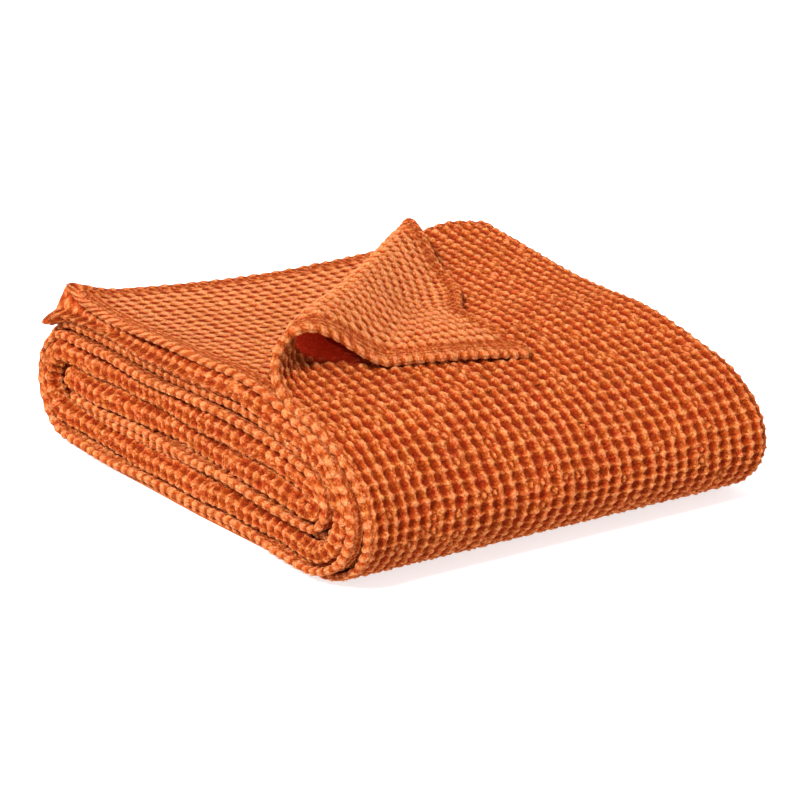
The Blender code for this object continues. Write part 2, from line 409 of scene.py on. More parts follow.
def cellPlace(across, along):
    # the cloth's own squares: across the width, and along each layer's own length
    which, share = locate(routeAcross, across)
    starts = np.array([row["countedAt"][0] for row in routeAcross]) * pitch
    ends = np.array([row["countedAt"][1] for row in routeAcross]) * pitch
    offset = starts[which] + (ends - starts)[which] * share
    bends = np.array([math.pi if row["name"] in ("rightFold", "leftFold") else 0.0 for row in routeAcross])
    bent = (np.cumsum(bends) - bends)[which] + bends[which] * share
    outside = bent * throw["foldSurface"]
    tight = np.clip(across / throw["tightWidth"], 0.0, 1.0)
    extra = throw["tightCells"] * (1.0 - (1.0 - tight) ** 2)
    return (across + outside) / cellSize + extra, (along + offset * turnedAngle(along)) / cellSize


def lines(start, end, perCell):
    return np.linspace(start, end, max(1, math.ceil((end - start) / cellSize * perCell)) + 1)


def hemLines():
    # closer and closer towards the rounded edge of a hem
    return throw["edgeRadius"] * (1.0 - np.cos(np.radians(hemShape["angles"])))


def joinLines(*rows):
    # one row of lines, without those that fall on each other
    together = np.concatenate([np.asarray(row) for row in rows])
    together.sort()
    return together[np.concatenate(([True], np.diff(together) > 1e-5))]


def steps(values):
    # the wider of the two gaps beside each line
    gaps = np.diff(values)
    return np.maximum(np.append(gaps, gaps[-1]), np.insert(gaps, 0, gaps[0]))


def roundedPoint(across, along, lift):
    # the cloth's own corners are blunt: their squares are drawn in to a round outline
    radius = throw["cornerRadius"]
    a = np.minimum(across, acrossEnd - across)
    b = np.minimum(along, alongEnd - along)
    fromA, fromB = np.maximum(radius - a, 0.0), np.maximum(radius - b, 0.0)
    scale = np.maximum(fromA, fromB) / np.maximum(np.hypot(fromA, fromB), 1e-9)
    a = np.where((fromA > 0.0) & (fromB > 0.0), radius - fromA * scale, a)
    b = np.where((fromA > 0.0) & (fromB > 0.0), radius - fromB * scale, b)
    return clothPoint(np.where(across < acrossEnd / 2, a, acrossEnd - a),
                      np.where(along < alongEnd / 2, b, alongEnd - b), lift)


def sheetSide(acrossLines, alongLines, side):
    # one side of the cloth as a grid, with what the waffle needs to know at each point
    across, along = np.meshgrid(acrossLines, alongLines, indexing="ij")
    distances = np.stack((across, acrossEnd - across, along, alongEnd - along))
    nearest = distances.argmin(axis=0)
    hem = distances.min(axis=0)
    probe = hemShape["probe"]
    inX = np.choose(nearest, (probe, -probe, 0.0, 0.0))
    inY = np.choose(nearest, (0.0, 0.0, probe, -probe))
    radius, edgeShare = throw["edgeRadius"], hemShape["edgeShare"]
    onEdge = hem < radius
    roundShare = np.clip(hem / radius, 0.0, 1.0)
    lean = np.sqrt(np.maximum(1.0 - (1.0 - roundShare * hemShape["bluntness"]) ** 2, 0.0))
    lean = edgeShare + (1.0 - edgeShare) * lean / lean.max() if onEdge.any() else np.ones_like(hem)
    half = np.where(onEdge, radius * lean, radius + (halfCloth - radius) * smooth(hem / radius / 2 - 0.5))
    middle = roundedPoint(across, along, np.zeros_like(across))
    surface = roundedPoint(across, along, side * half)
    normal = unit(roundedPoint(across, along, side * (half + hemShape["lift"])) - surface)
    outwards = unit(middle - roundedPoint(across + inX, along + inY, np.zeros_like(across)))
    sink = np.where(onEdge, np.sqrt(np.maximum(1.0 - lean ** 2, 0.0)), 0.0)[..., None]
    direction = unit(normal * np.where(onEdge, lean, 1.0)[..., None] + outwards * sink)
    u, v = cellPlace(across, along)
    widest = cellSize / detail["relief"]
    fineness = np.minimum.outer(steps(acrossLines) < widest, steps(alongLines) < widest).astype(float)
    fromFolds = np.abs(across - (acrossAt["leftFold"] + acrossAt["C"]) / 2)
    inFold = smooth(leftEnd["foldSpan"] - fromFolds / leftEnd["foldFade"])
    # the deep part of the rolled corner, where red shade and a glow are painted
    curlShadeAndGlowHere = curlShadeAndGlow(across, along, side)
    curlShadeAndGlowHere = curlShadeAndGlowHere * (across < acrossAt["rightFold"]) * (along < alongAt["frontFold"])
    return {
        "points": surface.reshape(-1, 3),
        "shape": across.shape,
        "waffleCell": np.stack((u, v, side * np.where(nearest < 2, 1.0, 2.0)), axis=-1).reshape(-1, 3),
        "waffleOut": direction.reshape(-1, 3),
        "hemDistance": hem.ravel(),
        "hemPlace": np.where(nearest < 2, v, u).ravel(),
        "waffleShare": fineness.ravel(),
        "curlShadeAndGlow": curlShadeAndGlowHere.ravel(),
        "foldShare": inFold.ravel(),
    }


def gridFaces(shape, first, flip):
    numbers = first + np.arange(shape[0] * shape[1]).reshape(shape)
    corners = [numbers[:-1, :-1], numbers[:-1, 1:], numbers[1:, 1:], numbers[1:, :-1]]
    if flip:
        corners.reverse()
    return np.stack(corners, axis=-1).reshape(-1, 4).tolist()


def bridge(one, onePlaces, other, otherPlaces, flip):
    # triangles between two edges that run side by side with different numbers of points
    faces, i, j = [], 0, 0
    while i < len(one) - 1 or j < len(other) - 1:
        oneNext = onePlaces[i + 1] if i < len(one) - 1 else math.inf
        otherNext = otherPlaces[j + 1] if j < len(other) - 1 else math.inf
        if oneNext <= otherNext:
            face = (one[i], one[i + 1], other[j])
            i += 1
        else:
            face = (one[i], other[j + 1], other[j])
            j += 1
        faces.append(tuple(reversed(face)) if flip else face)
    return faces


# What each point of the cloth tells the waffle and the material
vertexValues = {
    "waffleCell": "FLOAT_VECTOR",    # place in cells, and which side and hem it is
    "waffleOut": "FLOAT_VECTOR",     # the way out of the cloth
    "hemDistance": "FLOAT",
    "hemPlace": "FLOAT",
    "waffleShare": "FLOAT",          # 1 where the grid is fine enough
    "curlShadeAndGlow": "FLOAT",              # 1 in the deep part of the rolled corner, where red shade and a glow are painted
    "foldShare": "FLOAT",            # 1 round the folds at the left end
}


def slab(face, back):
    # a closed stretch of cloth: a grid for each side and a wall round its four edges
    sides = [sheetSide(*face, 1.0), sheetSide(*back, -1.0)]
    count = len(sides[0]["points"])
    faces = gridFaces(sides[0]["shape"], 0, False) + gridFaces(sides[1]["shape"], count, True)
    top = np.arange(count).reshape(sides[0]["shape"])
    under = count + np.arange(len(sides[1]["points"])).reshape(sides[1]["shape"])
    faces += bridge(top[0], face[1], under[0], back[1], True)
    faces += bridge(top[-1], face[1], under[-1], back[1], False)
    faces += bridge(top[:, 0], face[0], under[:, 0], back[0], False)
    faces += bridge(top[:, -1], face[0], under[:, -1], back[0], True)
    edge = np.zeros(count + under.size)
    for numbers in (top, under):
        for rim in (numbers[0], numbers[-1], numbers[:, 0], numbers[:, -1]):
            edge[rim] = 1.0
    made = {key: np.concatenate([side[key] for side in sides])
            for key in ("points", *vertexValues)}
    made["faces"] = faces
    made["cut"] = edge * (made["hemDistance"] > 1e-6)
    return made


def clothObject(name, slabs):
    # one mesh of one or more stretches of the cloth
    points = np.concatenate([each["points"] for each in slabs])
    faces, first = [], 0
    for each in slabs:
        faces += [tuple(first + corner for corner in face) for face in each["faces"]]
        first += len(each["points"])
    mesh = bpy.data.meshes.new(name)
    mesh.from_pydata(points.tolist(), [], faces)
    for key, kind in vertexValues.items():
        values = np.concatenate([each[key] for each in slabs])
        attribute = mesh.attributes.new(key, kind, "POINT")
        attribute.data.foreach_set("vector" if kind == "FLOAT_VECTOR" else "value",
                                   values.astype(np.float32).ravel())
    cut = np.concatenate([each["cut"] for each in slabs]) > 0.5
    ends = np.empty(len(mesh.edges) * 2, np.int32)
    mesh.edges.foreach_get("vertices", ends)
    ends = ends.reshape(-1, 2)
    sharp = mesh.attributes.new("sharp_edge", "BOOLEAN", "EDGE")
    sharp.data.foreach_set("value", cut[ends[:, 0]] & cut[ends[:, 1]])
    mesh.shade_smooth()
    made = bpy.data.objects.new(name, mesh)
    bpy.context.scene.collection.objects.link(made)
    return made


# Sizes of the weave, which are the inputs of the Geometry Nodes tree
waffle = {
    "Rope Height": 0.0026,       # ridges along the cloth
    "Rung Share": 0.76,          # height of the cross ridges, as a share
    "Rope Width": 0.300,         # in cells, from the middle to the side
    "Rung Width": 0.160,
    "Sharpness": 2.0,            # of the ridges: higher is squarer
    "Depth Under": 0.0017,       # how far the floor of a square lies below the smooth cloth
    "Wander": 0.16,              # how far the ridges stray, in cells
    "Unevenness": 0.40,
    "Bowl": 0.36,                # how much of the round bowl is in each square
    "Filled Share": 0.12,        # squares with a pulled loop in them
    "Reverse Height": 0.0023,
    "Hem Band": throw["hemBand"],
    "Hem Height": 0.0012,
    "Fibre Height": 0.0009,
    "Seed": 7.0,
}

# Noises of the weave, with their scales in cells
weaveNoise = {
    "stray": {"Detail": 1.0},
    "lumps": {"Scale": 2.6, "Detail": 2.5, "Roughness": 0.7},
    "crumbs": {"Scale": 3.0, "Detail": 1.0},
    "fibre": {"Scale": 5.0, "Detail": 2.0},
}

# How far the ridges stray: scale of the noise, and size as a share of Wander or in cells
ridgeStray = {
    "slow": (0.30, 3.6),
    "quick": (1.35, 1.7),
    "frayed": (3.6, 0.26),
    "frayedInFold": 0.30,
}

# The front of the weave: heights are shares of Rope Height, and widths are in cells
frontShape = {
    "ropeLevel": 0.86,           # of a rope between its knobs
    "ropeInFold": -0.12,         # what a fold at the left end adds to it
    "knobLength": 0.30,
    "knobSharpness": 2.0,
    "knobLeast": 0.02,
    "knobChance": 0.24,          # what chance adds to its height
    "knobBulge": 0.06,           # how much wider the rope is at a knob
    "waist": 0.03,
    "rungLeast": 0.48,
    "rungChance": 0.26,
    "rungCrumbs": 0.70,          # rungs are uneven along their length
    "rungInFold": 0.10,
    "rungWidthInFold": 0.04,
    "bowlAcross": 0.60,
    "bowlAlong": 0.40,
    "loopWidth": 0.20,           # the pulled loops
    "loopLength": 0.36,
    "loopSharpness": 2.0,
    "loopHeight": 0.95,
    "lumps": 1.3,
    "paleInFold": 0.12,
}
plainLevel = 0.85                # painted-shade paleness where the grid is too wide for the weave

# The reverse: pillows, grooves along and across between them, and slits where grooves cross
reverseShape = {
    "grooveAcross": 2.0,
    "grooveAlong": 2.2,
    "slitSharpness": 0.8,
    "slitShare": 0.90,
    "grooveShare": 0.66,
    "depth": 0.6,
    "middle": 0.6,               # height that lies in the smooth cloth
    "lumps": 1.5,
    "paleness": 0.25,
}

# The turned hems: heights are shares of Hem Height, and widths are in cells
bandShape = {
    "frontWidth": 0.45,          # share of Hem Band that it has on the front
    "fadeFrom": 0.80,
    "fadeTo": 1.15,
    "loopWidth": 0.34,           # the loops of an end hem
    "loopIn": 0.86,
    "loopDepth": 0.46,
    "loopYarn": 0.42,
    "loopHeight": 0.8,
    "ribs": 2.3,                 # the fine ribs of a side hem
    "ribHeight": 0.38,
    "ribBeads": 0.42,
    "edgeFrom": 0.30,            # the twisted edge
    "edgeTo": 0.62,
    "twistLean": 0.55,
    "twistLeast": 0.1,
    "sideHemEdge": 0.7,
    "lumps": 1.1,
    "middle": 0.45,              # height that lies in the smooth cloth
    "paleness": 0.48,
    "contrast": 0.74,
    "endHemDarker": -0.24,
}


class Value:
    # what comes out of a node, to reckon with like a plain number. With last, it goes in last
    def __init__(self, socket):
        self.socket = socket

    def to(self, operation, *others, last=False):
        made = self.socket.id_data.nodes.new("ShaderNodeMath")
        made.operation = operation
        values = (*others, self) if last else (self, *others)
        for socket, value in zip(made.inputs, values):
            connect(socket, value)
        return Value(made.outputs[0])

    def __add__(self, other):
        return self.to("ADD", other)

    def __sub__(self, other):
        return self.to("SUBTRACT", other)

    def __rsub__(self, other):
        return self.to("SUBTRACT", other, last=True)

    def __mul__(self, other):
        return self.to("MULTIPLY", other)

    def __truediv__(self, other):
        return self.to("DIVIDE", other)

    def __pow__(self, other):
        return self.to("POWER", other)


def connect(socket, value):
    if isinstance(value, Value):
        socket.id_data.links.new(value.socket, socket)
    else:
        socket.default_value = value


def addNode(tree, kind, values=(), take=None, **settings):
    # adds a node, and gives back the output that is named, or else the node
    made = tree.nodes.new(kind)
    for key, value in settings.items():
        setattr(made, key, value)
    for key, value in dict(values).items():
        connect(made.inputs[key], value)
    return made if take is None else Value(made.outputs[take])


def parts(vector):
    # the three numbers in a vector or a colour
    made = addNode(vector.socket.id_data, "ShaderNodeSeparateXYZ", {"Vector": vector})
    return [Value(output) for output in made.outputs]


def noise(vector, settings, take="Fac"):
    return addNode(vector.socket.id_data, "ShaderNodeTexNoise", {"Vector": vector, **settings}, take)


def ridge(place, width, sharpness):
    # 1 on the lines of whole numbers and 0 between them
    away = ((place - place.to("ROUND")) / width).to("ABSOLUTE")
    return (away ** sharpness * -1.0).to("EXPONENT")


def squaredWave(place, kind="COSINE"):
    swing = (place * math.pi).to(kind)
    return swing * swing


def blend(share, first, second):
    return (second - first) * share + first


def strayedPlace(flat, across, along, wander, inFold):
    # place in cells with the ridges' stray: slow, from square to square, and frayed
    def stray(name, amount):
        u, v, _ = parts(noise(flat, {"Scale": ridgeStray[name][0], **weaveNoise["stray"]}, "Color"))
        return (u - 0.5) * amount, (v - 0.5) * amount

    slow = stray("slow", wander * ridgeStray["slow"][1])
    quick = stray("quick", wander * ridgeStray["quick"][1])
    frayed = stray("frayed", inFold * ridgeStray["frayedInFold"] + ridgeStray["frayed"][1])
    return (slow[0] + quick[0] + frayed[0] + across, slow[1] + quick[1] + frayed[1] + along,
            slow[0] + quick[1])


def wovenFront(tree, given, flat, u, v, lumps, inFold):
    # ropes with a knob at each crossing, lower rungs, and a loop of yarn in some squares
    shape = frontShape

    def chances(rounding):
        number = addNode(tree, "ShaderNodeCombineXYZ",
                         {"X": u.to(rounding), "Y": v.to(rounding), "Z": given["Seed"]}, 0)
        return parts(addNode(tree, "ShaderNodeTexWhiteNoise", {"Vector": number}, "Color",
                             noise_dimensions="3D"))

    loopChance, rungChance, _ = chances("FLOOR")
    knobChance = chances("ROUND")[0]
    knob = ridge(v, shape["knobLength"], shape["knobSharpness"])
    knobHeight = knobChance * shape["knobChance"] + shape["knobLeast"]
    ropeWidth = knob * shape["knobBulge"] + (given["Rope Width"] - shape["waist"])
    rope = ridge(u, ropeWidth, given["Sharpness"]) * (knob * knobHeight + shape["ropeLevel"])
    rope = rope * (inFold * shape["ropeInFold"] + 1.0)
    crumbs = noise(flat, weaveNoise["crumbs"])
    rungHeight = rungChance * shape["rungChance"] + (crumbs * shape["rungCrumbs"] + shape["rungLeast"])
    rungHeight = given["Rung Share"] * rungHeight * (inFold * shape["rungInFold"] + 1.0)
    rungWidth = inFold * shape["rungWidthInFold"] + given["Rung Width"]
    rung = ridge(v, rungWidth, given["Sharpness"]) * rungHeight
    grid = (rope * rope + rung * rung).to("SQRT")

    # they flow into a round bowl between them
    bowl = squaredWave(u) * shape["bowlAcross"] + squaredWave(v) * shape["bowlAlong"]
    grid = blend(given["Bowl"], grid, bowl)

    fromMiddleU = (u.to("FRACT") - 0.5) / shape["loopWidth"]
    fromMiddleV = (v.to("FRACT") - 0.5) / shape["loopLength"]
    apart = (fromMiddleU * fromMiddleU + fromMiddleV * fromMiddleV) ** shape["loopSharpness"]
    loop = (apart * -1.0).to("EXPONENT") * loopChance.to("LESS_THAN", given["Filled Share"])
    return lumps * shape["lumps"] + grid.to("MAXIMUM", loop * shape["loopHeight"])


def wovenReverse(u, v, lumps):
    # a pillow for each square, with a slit where four of them meet
    shape = reverseShape
    across, along = squaredWave(u), squaredWave(v)
    groove = across ** shape["grooveAcross"] + along ** shape["grooveAlong"]
    slit = (across * along) ** shape["slitSharpness"]
    groove = slit * shape["slitShare"] + groove * shape["grooveShare"]
    return lumps * shape["lumps"] + (1.0 - groove * shape["depth"])


def turnedHem(tree, hem, bandWidth, lean, endHem, alongHem, lumpiness):
    # flatter: a twisted edge, with loops beside it on an end hem and fine ribs on a side hem
    shape = bandShape
    hemCells = hem / cellSize
    fading = {"To Min": 1.0, "To Max": 0.0}
    inBand = addNode(tree, "ShaderNodeMapRange",
                     {"Value": hem, "From Min": bandWidth * shape["fadeFrom"],
                      "From Max": bandWidth * shape["fadeTo"], **fading}, 0, interpolation_type="SMOOTHSTEP")
    loopAcross = (alongHem.to("FRACT") - 0.5) / shape["loopWidth"]
    loopIn = (hemCells - shape["loopIn"]) / shape["loopDepth"]
    fromLoop = ((loopAcross * loopAcross + loopIn * loopIn).to("SQRT") - 1.0) / shape["loopYarn"]
    loop = (fromLoop * fromLoop * -1.0).to("EXPONENT")
    beads = squaredWave(alongHem) * shape["ribBeads"] + shape["ribHeight"]
    rib = squaredWave(hemCells * shape["ribs"], "SINE") * beads
    loop = blend(endHem, rib, loop)
    nearEdge = addNode(tree, "ShaderNodeMapRange", {"Value": hemCells, "From Min": shape["edgeFrom"],
                                                    "From Max": shape["edgeTo"], **fading}, 0)
    twist = squaredWave(hemCells * (lean * shape["twistLean"]) + alongHem)
    edge = nearEdge * (twist + shape["twistLeast"])
    edge = edge * (endHem * (1.0 - shape["sideHemEdge"]) + shape["sideHemEdge"])
    return inBand, lumpiness * shape["lumps"] + (loop * shape["loopHeight"]).to("MAXIMUM", edge)


def buildWaffleTree():
    tree = bpy.data.node_groups.new("waffle weave", "GeometryNodeTree")
    tree.interface.new_socket("Cloth", in_out="INPUT", socket_type="NodeSocketGeometry")
    for name in waffle:
        tree.interface.new_socket(name, in_out="INPUT", socket_type="NodeSocketFloat")
    tree.interface.new_socket("Material", in_out="INPUT", socket_type="NodeSocketMaterial")
    tree.interface.new_socket("Cloth", in_out="OUTPUT", socket_type="NodeSocketGeometry")
    given = {output.name: Value(output) for output in addNode(tree, "NodeGroupInput").outputs}

    def attribute(name, kind="FLOAT"):
        return addNode(tree, "GeometryNodeInputNamedAttribute", {"Name": name}, "Attribute", data_type=kind)

    across, along, side = parts(attribute("waffleCell", "FLOAT_VECTOR"))
    flat = addNode(tree, "ShaderNodeCombineXYZ", {"X": across, "Y": along, "Z": given["Seed"]}, 0)
    reverseSide = side.to("LESS_THAN", 0.0)
    endHem = side.to("ABSOLUTE").to("GREATER_THAN", 1.5)
    inFold = attribute("foldShare")
    u, v, hemStray = strayedPlace(flat, across, along, given["Wander"], inFold)
    lumpiness = noise(flat, weaveNoise["lumps"]) - 0.5
    lumps = lumpiness * given["Unevenness"]
    front = wovenFront(tree, given, flat, u, v, lumps, inFold)
    reverse = wovenReverse(u, v, lumps)
    frontWidth = bandShape["frontWidth"]
    bandWidth = given["Hem Band"] * (reverseSide * (1.0 - frontWidth) + frontWidth)
    inBand, band = turnedHem(tree, attribute("hemDistance"), bandWidth, side, endHem,
                             hemStray + attribute("hemPlace"), lumpiness)

    # how far each point is raised
    frontHeight = front * given["Rope Height"] - given["Depth Under"]
    reverseHeight = (reverse - reverseShape["middle"]) * given["Reverse Height"]
    bandHeight = (band - bandShape["middle"]) * given["Hem Height"]
    height = blend(inBand, blend(reverseSide, frontHeight, reverseHeight), bandHeight)
    fibre = (noise(flat, weaveNoise["fibre"]) - 0.5) * (given["Fibre Height"] * 2.0)
    woven = attribute("waffleShare")
    height = (height + fibre) * woven

    # and how pale it is: painted shade, darker the lower the weave lies in a square
    reverseLevel = reverse + reverseShape["paleness"]
    bandLevel = band * bandShape["contrast"] + bandShape["paleness"]
    bandLevel = endHem * bandShape["endHemDarker"] + bandLevel
    level = blend(inBand, blend(reverseSide, front, reverseLevel), bandLevel)
    level = blend(inFold * frontShape["paleInFold"], level, 1.0)
    level = blend(woven, plainLevel, level)

    # kept for the material, which paints shade from it
    stored = addNode(tree, "GeometryNodeStoreNamedAttribute",
                     {"Geometry": given["Cloth"], "Name": "waffleShadeLevel", "Value": level}, 0,
                     data_type="FLOAT", domain="POINT")
    offset = addNode(tree, "ShaderNodeVectorMath",
                     {0: attribute("waffleOut", "FLOAT_VECTOR"), "Scale": height}, 0, operation="SCALE")
    raised = addNode(tree, "GeometryNodeSetPosition", {"Geometry": stored, "Offset": offset}, 0)

    # the lowest ridges are pressed flat on the floor
    x, y, z = parts(addNode(tree, "GeometryNodeInputPosition", take=0))
    resting = addNode(tree, "ShaderNodeCombineXYZ", {"X": x, "Y": y, "Z": z.to("MAXIMUM", 0.0)}, 0)
    pressed = addNode(tree, "GeometryNodeSetPosition", {"Geometry": raised, "Position": resting}, 0)
    real = addNode(tree, "GeometryNodeRealizeInstances", {"Geometry": pressed}, 0)
    dressed = addNode(tree, "GeometryNodeSetMaterial", {"Geometry": real, "Material": given["Material"]}, 0)
    addNode(tree, "NodeGroupOutput", {"Cloth": dressed})
    return tree


def weave(piece, tree, material):
    # raises the waffle on a smooth piece and leaves a plain mesh
    modifier = piece.modifiers.new("waffle weave", "NODES")
    modifier.node_group = tree
    for item in tree.interface.items_tree:
        if item.in_out == "INPUT" and item.name in waffle:
            modifier[item.identifier] = waffle[item.name]
        if item.in_out == "INPUT" and item.name == "Material":
            modifier[item.identifier] = material
    depsgraph = bpy.context.evaluated_depsgraph_get()
    mesh = bpy.data.meshes.new_from_object(piece.evaluated_get(depsgraph), preserve_all_data_layers=True,
                                           depsgraph=depsgraph)
    piece.modifiers.clear()
    smoothMesh = piece.data
    piece.data = mesh
    bpy.data.meshes.remove(smoothMesh)
    mesh.name = piece.name


# The finish of the cotton
cotton = {
    # painted shade: colours from the dark floor of a square up to its pale ridges
    "paintedPitShade": ((0.00, (0.28, 0.021, 0.0012, 1.0)), (0.24, (0.36, 0.038, 0.0030, 1.0)),
               (0.44, (0.53, 0.088, 0.013, 1.0)), (0.58, (0.71, 0.170, 0.043, 1.0)),
               (0.70, (0.85, 0.252, 0.082, 1.0)), (0.94, (0.93, 0.330, 0.126, 1.0))),
    "depthScale": 0.82,
    # painted red shade deep in the rolled corner, the red of light that comes through the cloth
    "curlShadeRed": (0.92, 0.050, 0.014, 1.0),
    "curlGlow": 0.10,            # painted glow, for the light that comes through the rolled corner

    # noises in cells
    "yarn": {"Scale": 4.2, "Detail": 2.0, "Roughness": 0.6, "Distortion": 1.4},
    "knots": {"Scale": 4.0, "Randomness": 1.0},
    "crevice": {"From Min": 0.38, "From Max": 0.70},
    "blush": {"Scale": 1.3, "Detail": 2.0},

    # noises in metres
    "fuzz": {"Scale": 1500.0, "Detail": 2.0, "Roughness": 0.7},
    "patches": {"Scale": 22.0, "Detail": 4.0},

    # how much each of them darkens or turns the colour: yarn and crevices as painted shade, patches, fuzz
    # and blush as the cotton's uneven tone
    "yarnShade": 0.52,
    "creviceShade": 0.20,
    "patchShade": 0.30,
    "fuzzShade": 0.30,
    "blushHue": 0.022,

    "creviceRelief": -0.5,
    "yarnBump": {"Strength": 0.9, "Distance": 0.0050},
    "fuzzBump": {"Strength": 0.8, "Distance": 0.0006},
    "surface": {
        "Roughness": 0.95,
        "Specular IOR Level": 0.05,
        "Subsurface Weight": 0.10,
        "Subsurface Radius": (1.0, 0.12, 0.04),
        "Subsurface Scale": 0.006,
        "Sheen Weight": 0.03,
        "Sheen Roughness": 0.4,
        "Sheen Tint": (1.0, 0.62, 0.38, 1.0),
    },
}


def buildCotton():
    material = bpy.data.materials.new("waffle cotton")
    material.use_nodes = True
    tree = material.node_tree
    tree.nodes.clear()
    # the painted shade from the weave's relief
    level = addNode(tree, "ShaderNodeAttribute", take="Fac", attribute_name="waffleShadeLevel")
    # where red shade and a glow are painted, deep in the rolled corner
    inside = addNode(tree, "ShaderNodeAttribute", take="Fac", attribute_name="curlShadeAndGlow")
    cell = addNode(tree, "ShaderNodeAttribute", take="Vector", attribute_name="waffleCell")
    place = addNode(tree, "ShaderNodeTexCoord", take="Object")
    yarn, blush = (noise(cell, cotton[name]) for name in ("yarn", "blush"))
    fuzz, patches = (noise(place, cotton[name]) for name in ("fuzz", "patches"))
    knots = addNode(tree, "ShaderNodeTexVoronoi", {"Vector": cell, **cotton["knots"]}, "Distance")
    crevice = addNode(tree, "ShaderNodeMapRange", {"Value": knots, **cotton["crevice"]}, 0)

    # painted shade: the yarn's own small shadows and the darker crevices between its knots join the painted
    # shade of the squares
    depth = (yarn - 0.5) * cotton["yarnShade"] + level - crevice * cotton["creviceShade"]
    ramp = addNode(tree, "ShaderNodeValToRGB", {"Fac": depth * cotton["depthScale"]})
    elements = ramp.color_ramp.elements
    while len(elements) < len(cotton["paintedPitShade"]):
        elements.new(0.5)
    for element, (position, colour) in zip(elements, cotton["paintedPitShade"]):
        element.position = position
        element.color = colour
    shade = (fuzz - 0.5) * cotton["fuzzShade"] + ((patches - 0.5) * cotton["patchShade"] + 1.0)
    hue = (blush - 0.5) * cotton["blushHue"] + 0.5
    colour = addNode(tree, "ShaderNodeHueSaturation",
                     {"Color": Value(ramp.outputs["Color"]), "Value": shade, "Hue": hue}, 0)
    # painted red shade: the deep part of the rolled corner is turned red
    colour = addNode(tree, "ShaderNodeMix", {"Factor": inside, "A": colour, "B": cotton["curlShadeRed"]},
                     "Result", data_type="RGBA")

    relief = crevice * cotton["creviceRelief"] + yarn
    yarnBump = addNode(tree, "ShaderNodeBump", {"Height": relief, **cotton["yarnBump"]}, 0)
    fuzzBump = addNode(tree, "ShaderNodeBump", {"Height": fuzz, "Normal": yarnBump, **cotton["fuzzBump"]}, 0)
    # the rolled corner's painted glow goes into the emission
    shader = addNode(tree, "ShaderNodeBsdfPrincipled",
                     {"Base Color": colour, "Normal": fuzzBump, "Emission Color": cotton["curlShadeRed"],
                      "Emission Strength": inside * cotton["curlGlow"], **cotton["surface"]}, 0)
    addNode(tree, "ShaderNodeOutputMaterial", {"Surface": shader})
    return material


# Where the cloth is divided into meshes, along its own width and length
cuts = {
    "rightFoldStart": acrossAt["rightFold"] - 1.0 * cellSize,
    "rightFoldEnd": acrossAt["D"] + 1.5 * cellSize,
    "leftFoldStart": acrossAt["leftFold"] - 1.5 * cellSize,
    "leftFoldEnd": acrossAt["C"] + 1.5 * cellSize,
    "secondLayer": acrossAt["B"],
    "front": alongAt["frontFold"],
    "underside": alongAt["bottom"],
    "third": alongAt["third"],
    "cornerEnd": 0.262,          # as far as the rolled corner's reverse goes
    "hemEnd": 2 * cellSize,      # a hem with the squares that show beside it
}

# Grid lines to each cell
detail = {
    "outside": 8,
    "reverse": 5.5,
    "back": 7,
    "rightFold": 8,
    "leftFold": 7,
    "secondTop": 6,
    "hem": 6,
    "looseEnd": 5,
    "innerFold": 5,
    "innerLayers": 3,
    "hiddenHem": 3,
    "underside": 2,
    "hiddenFold": (1.5, 2),      # across and along
    "hiddenAlong": 1,
    "hidden": 0.5,
    "stretch": 1.25,             # more of them where the outside is stretched round a fold
    "relief": 2.5,               # the weave is raised from this many on
}


def fromHem(perCell):
    # across A from its hem to the right fold
    return joinLines(hemLines(), lines(throw["edgeRadius"], cuts["rightFoldStart"], perCell))


def fromHiddenHem(perCell):
    # the same, but fine only at the hem
    return joinLines(hemLines(), lines(throw["edgeRadius"], cuts["hemEnd"], perCell),
                     lines(cuts["hemEnd"], cuts["rightFoldStart"], detail["hidden"]))


def wrapLines(start, end, perCell):
    # along the wrap, with closer lines round its folds
    rows = []
    for row in routeAlong:
        first = max(start, alongAt[row["name"]])
        last = min(end, alongAt[row["name"]] + rowLength(row))
        if last > first:
            stretch = detail["stretch"] if "radius" in row else 1.0
            rows.append(lines(first, last, perCell * stretch))
    return joinLines(*rows)


def wrapToEnd(start, perCell):
    # along the wrap to the end hem inside it
    return joinLines(wrapLines(start, alongEnd - throw["edgeRadius"], perCell), alongEnd - hemLines())


def wholeWrap(perCell):
    return joinLines(hemLines(), wrapToEnd(throw["edgeRadius"], perCell))


def topPieces():
    # the top layer with the rolled corner, and the same layer down the front to the floor
    across = fromHem(detail["outside"])
    along = joinLines(hemLines(), lines(throw["edgeRadius"], cuts["front"], detail["outside"]))
    backAlong = joinLines(hemLines(), lines(throw["edgeRadius"], cuts["cornerEnd"], detail["reverse"]),
                          lines(cuts["cornerEnd"], cuts["front"], detail["hiddenAlong"]))
    frontAlong = lines(cuts["front"], cuts["underside"], detail["outside"] * detail["stretch"])
    innerAlong = lines(cuts["front"], cuts["underside"], detail["hem"])
    top = slab((across, along), (fromHem(detail["reverse"]), backAlong))
    front = slab((across, frontAlong), (fromHiddenHem(detail["hiddenHem"]), innerAlong))
    return clothObject("blanket_top", [top]), clothObject("blanket_front", [front])


def undersidePiece():
    # the same layer under the pad and round its back
    along = joinLines(lines(cuts["underside"], alongAt["backFold"], detail["underside"]),
                      lines(alongAt["backFold"], cuts["third"], detail["back"]))
    backAlong = lines(cuts["underside"], cuts["third"], detail["hem"])
    under = slab((fromHem(detail["outside"]), along), (fromHiddenHem(detail["hiddenHem"]), backAlong))
    return clothObject("blanket_underside", [under])


def foldPieces():
    # the cloth round the folds at the right end and at the left end
    hiddenAcross, hiddenAlong = detail["hiddenFold"]
    made = []
    for name, fold in (("blanket_folds", "rightFold"), ("blanket_side_folds", "leftFold")):
        start, end = cuts[fold + "Start"], cuts[fold + "End"]
        face = lines(start, end, detail[fold]), wholeWrap(detail[fold])
        back = lines(start, end, hiddenAcross), wholeWrap(hiddenAlong)
        made.append(clothObject(name, [slab(face, back)]))
    return made


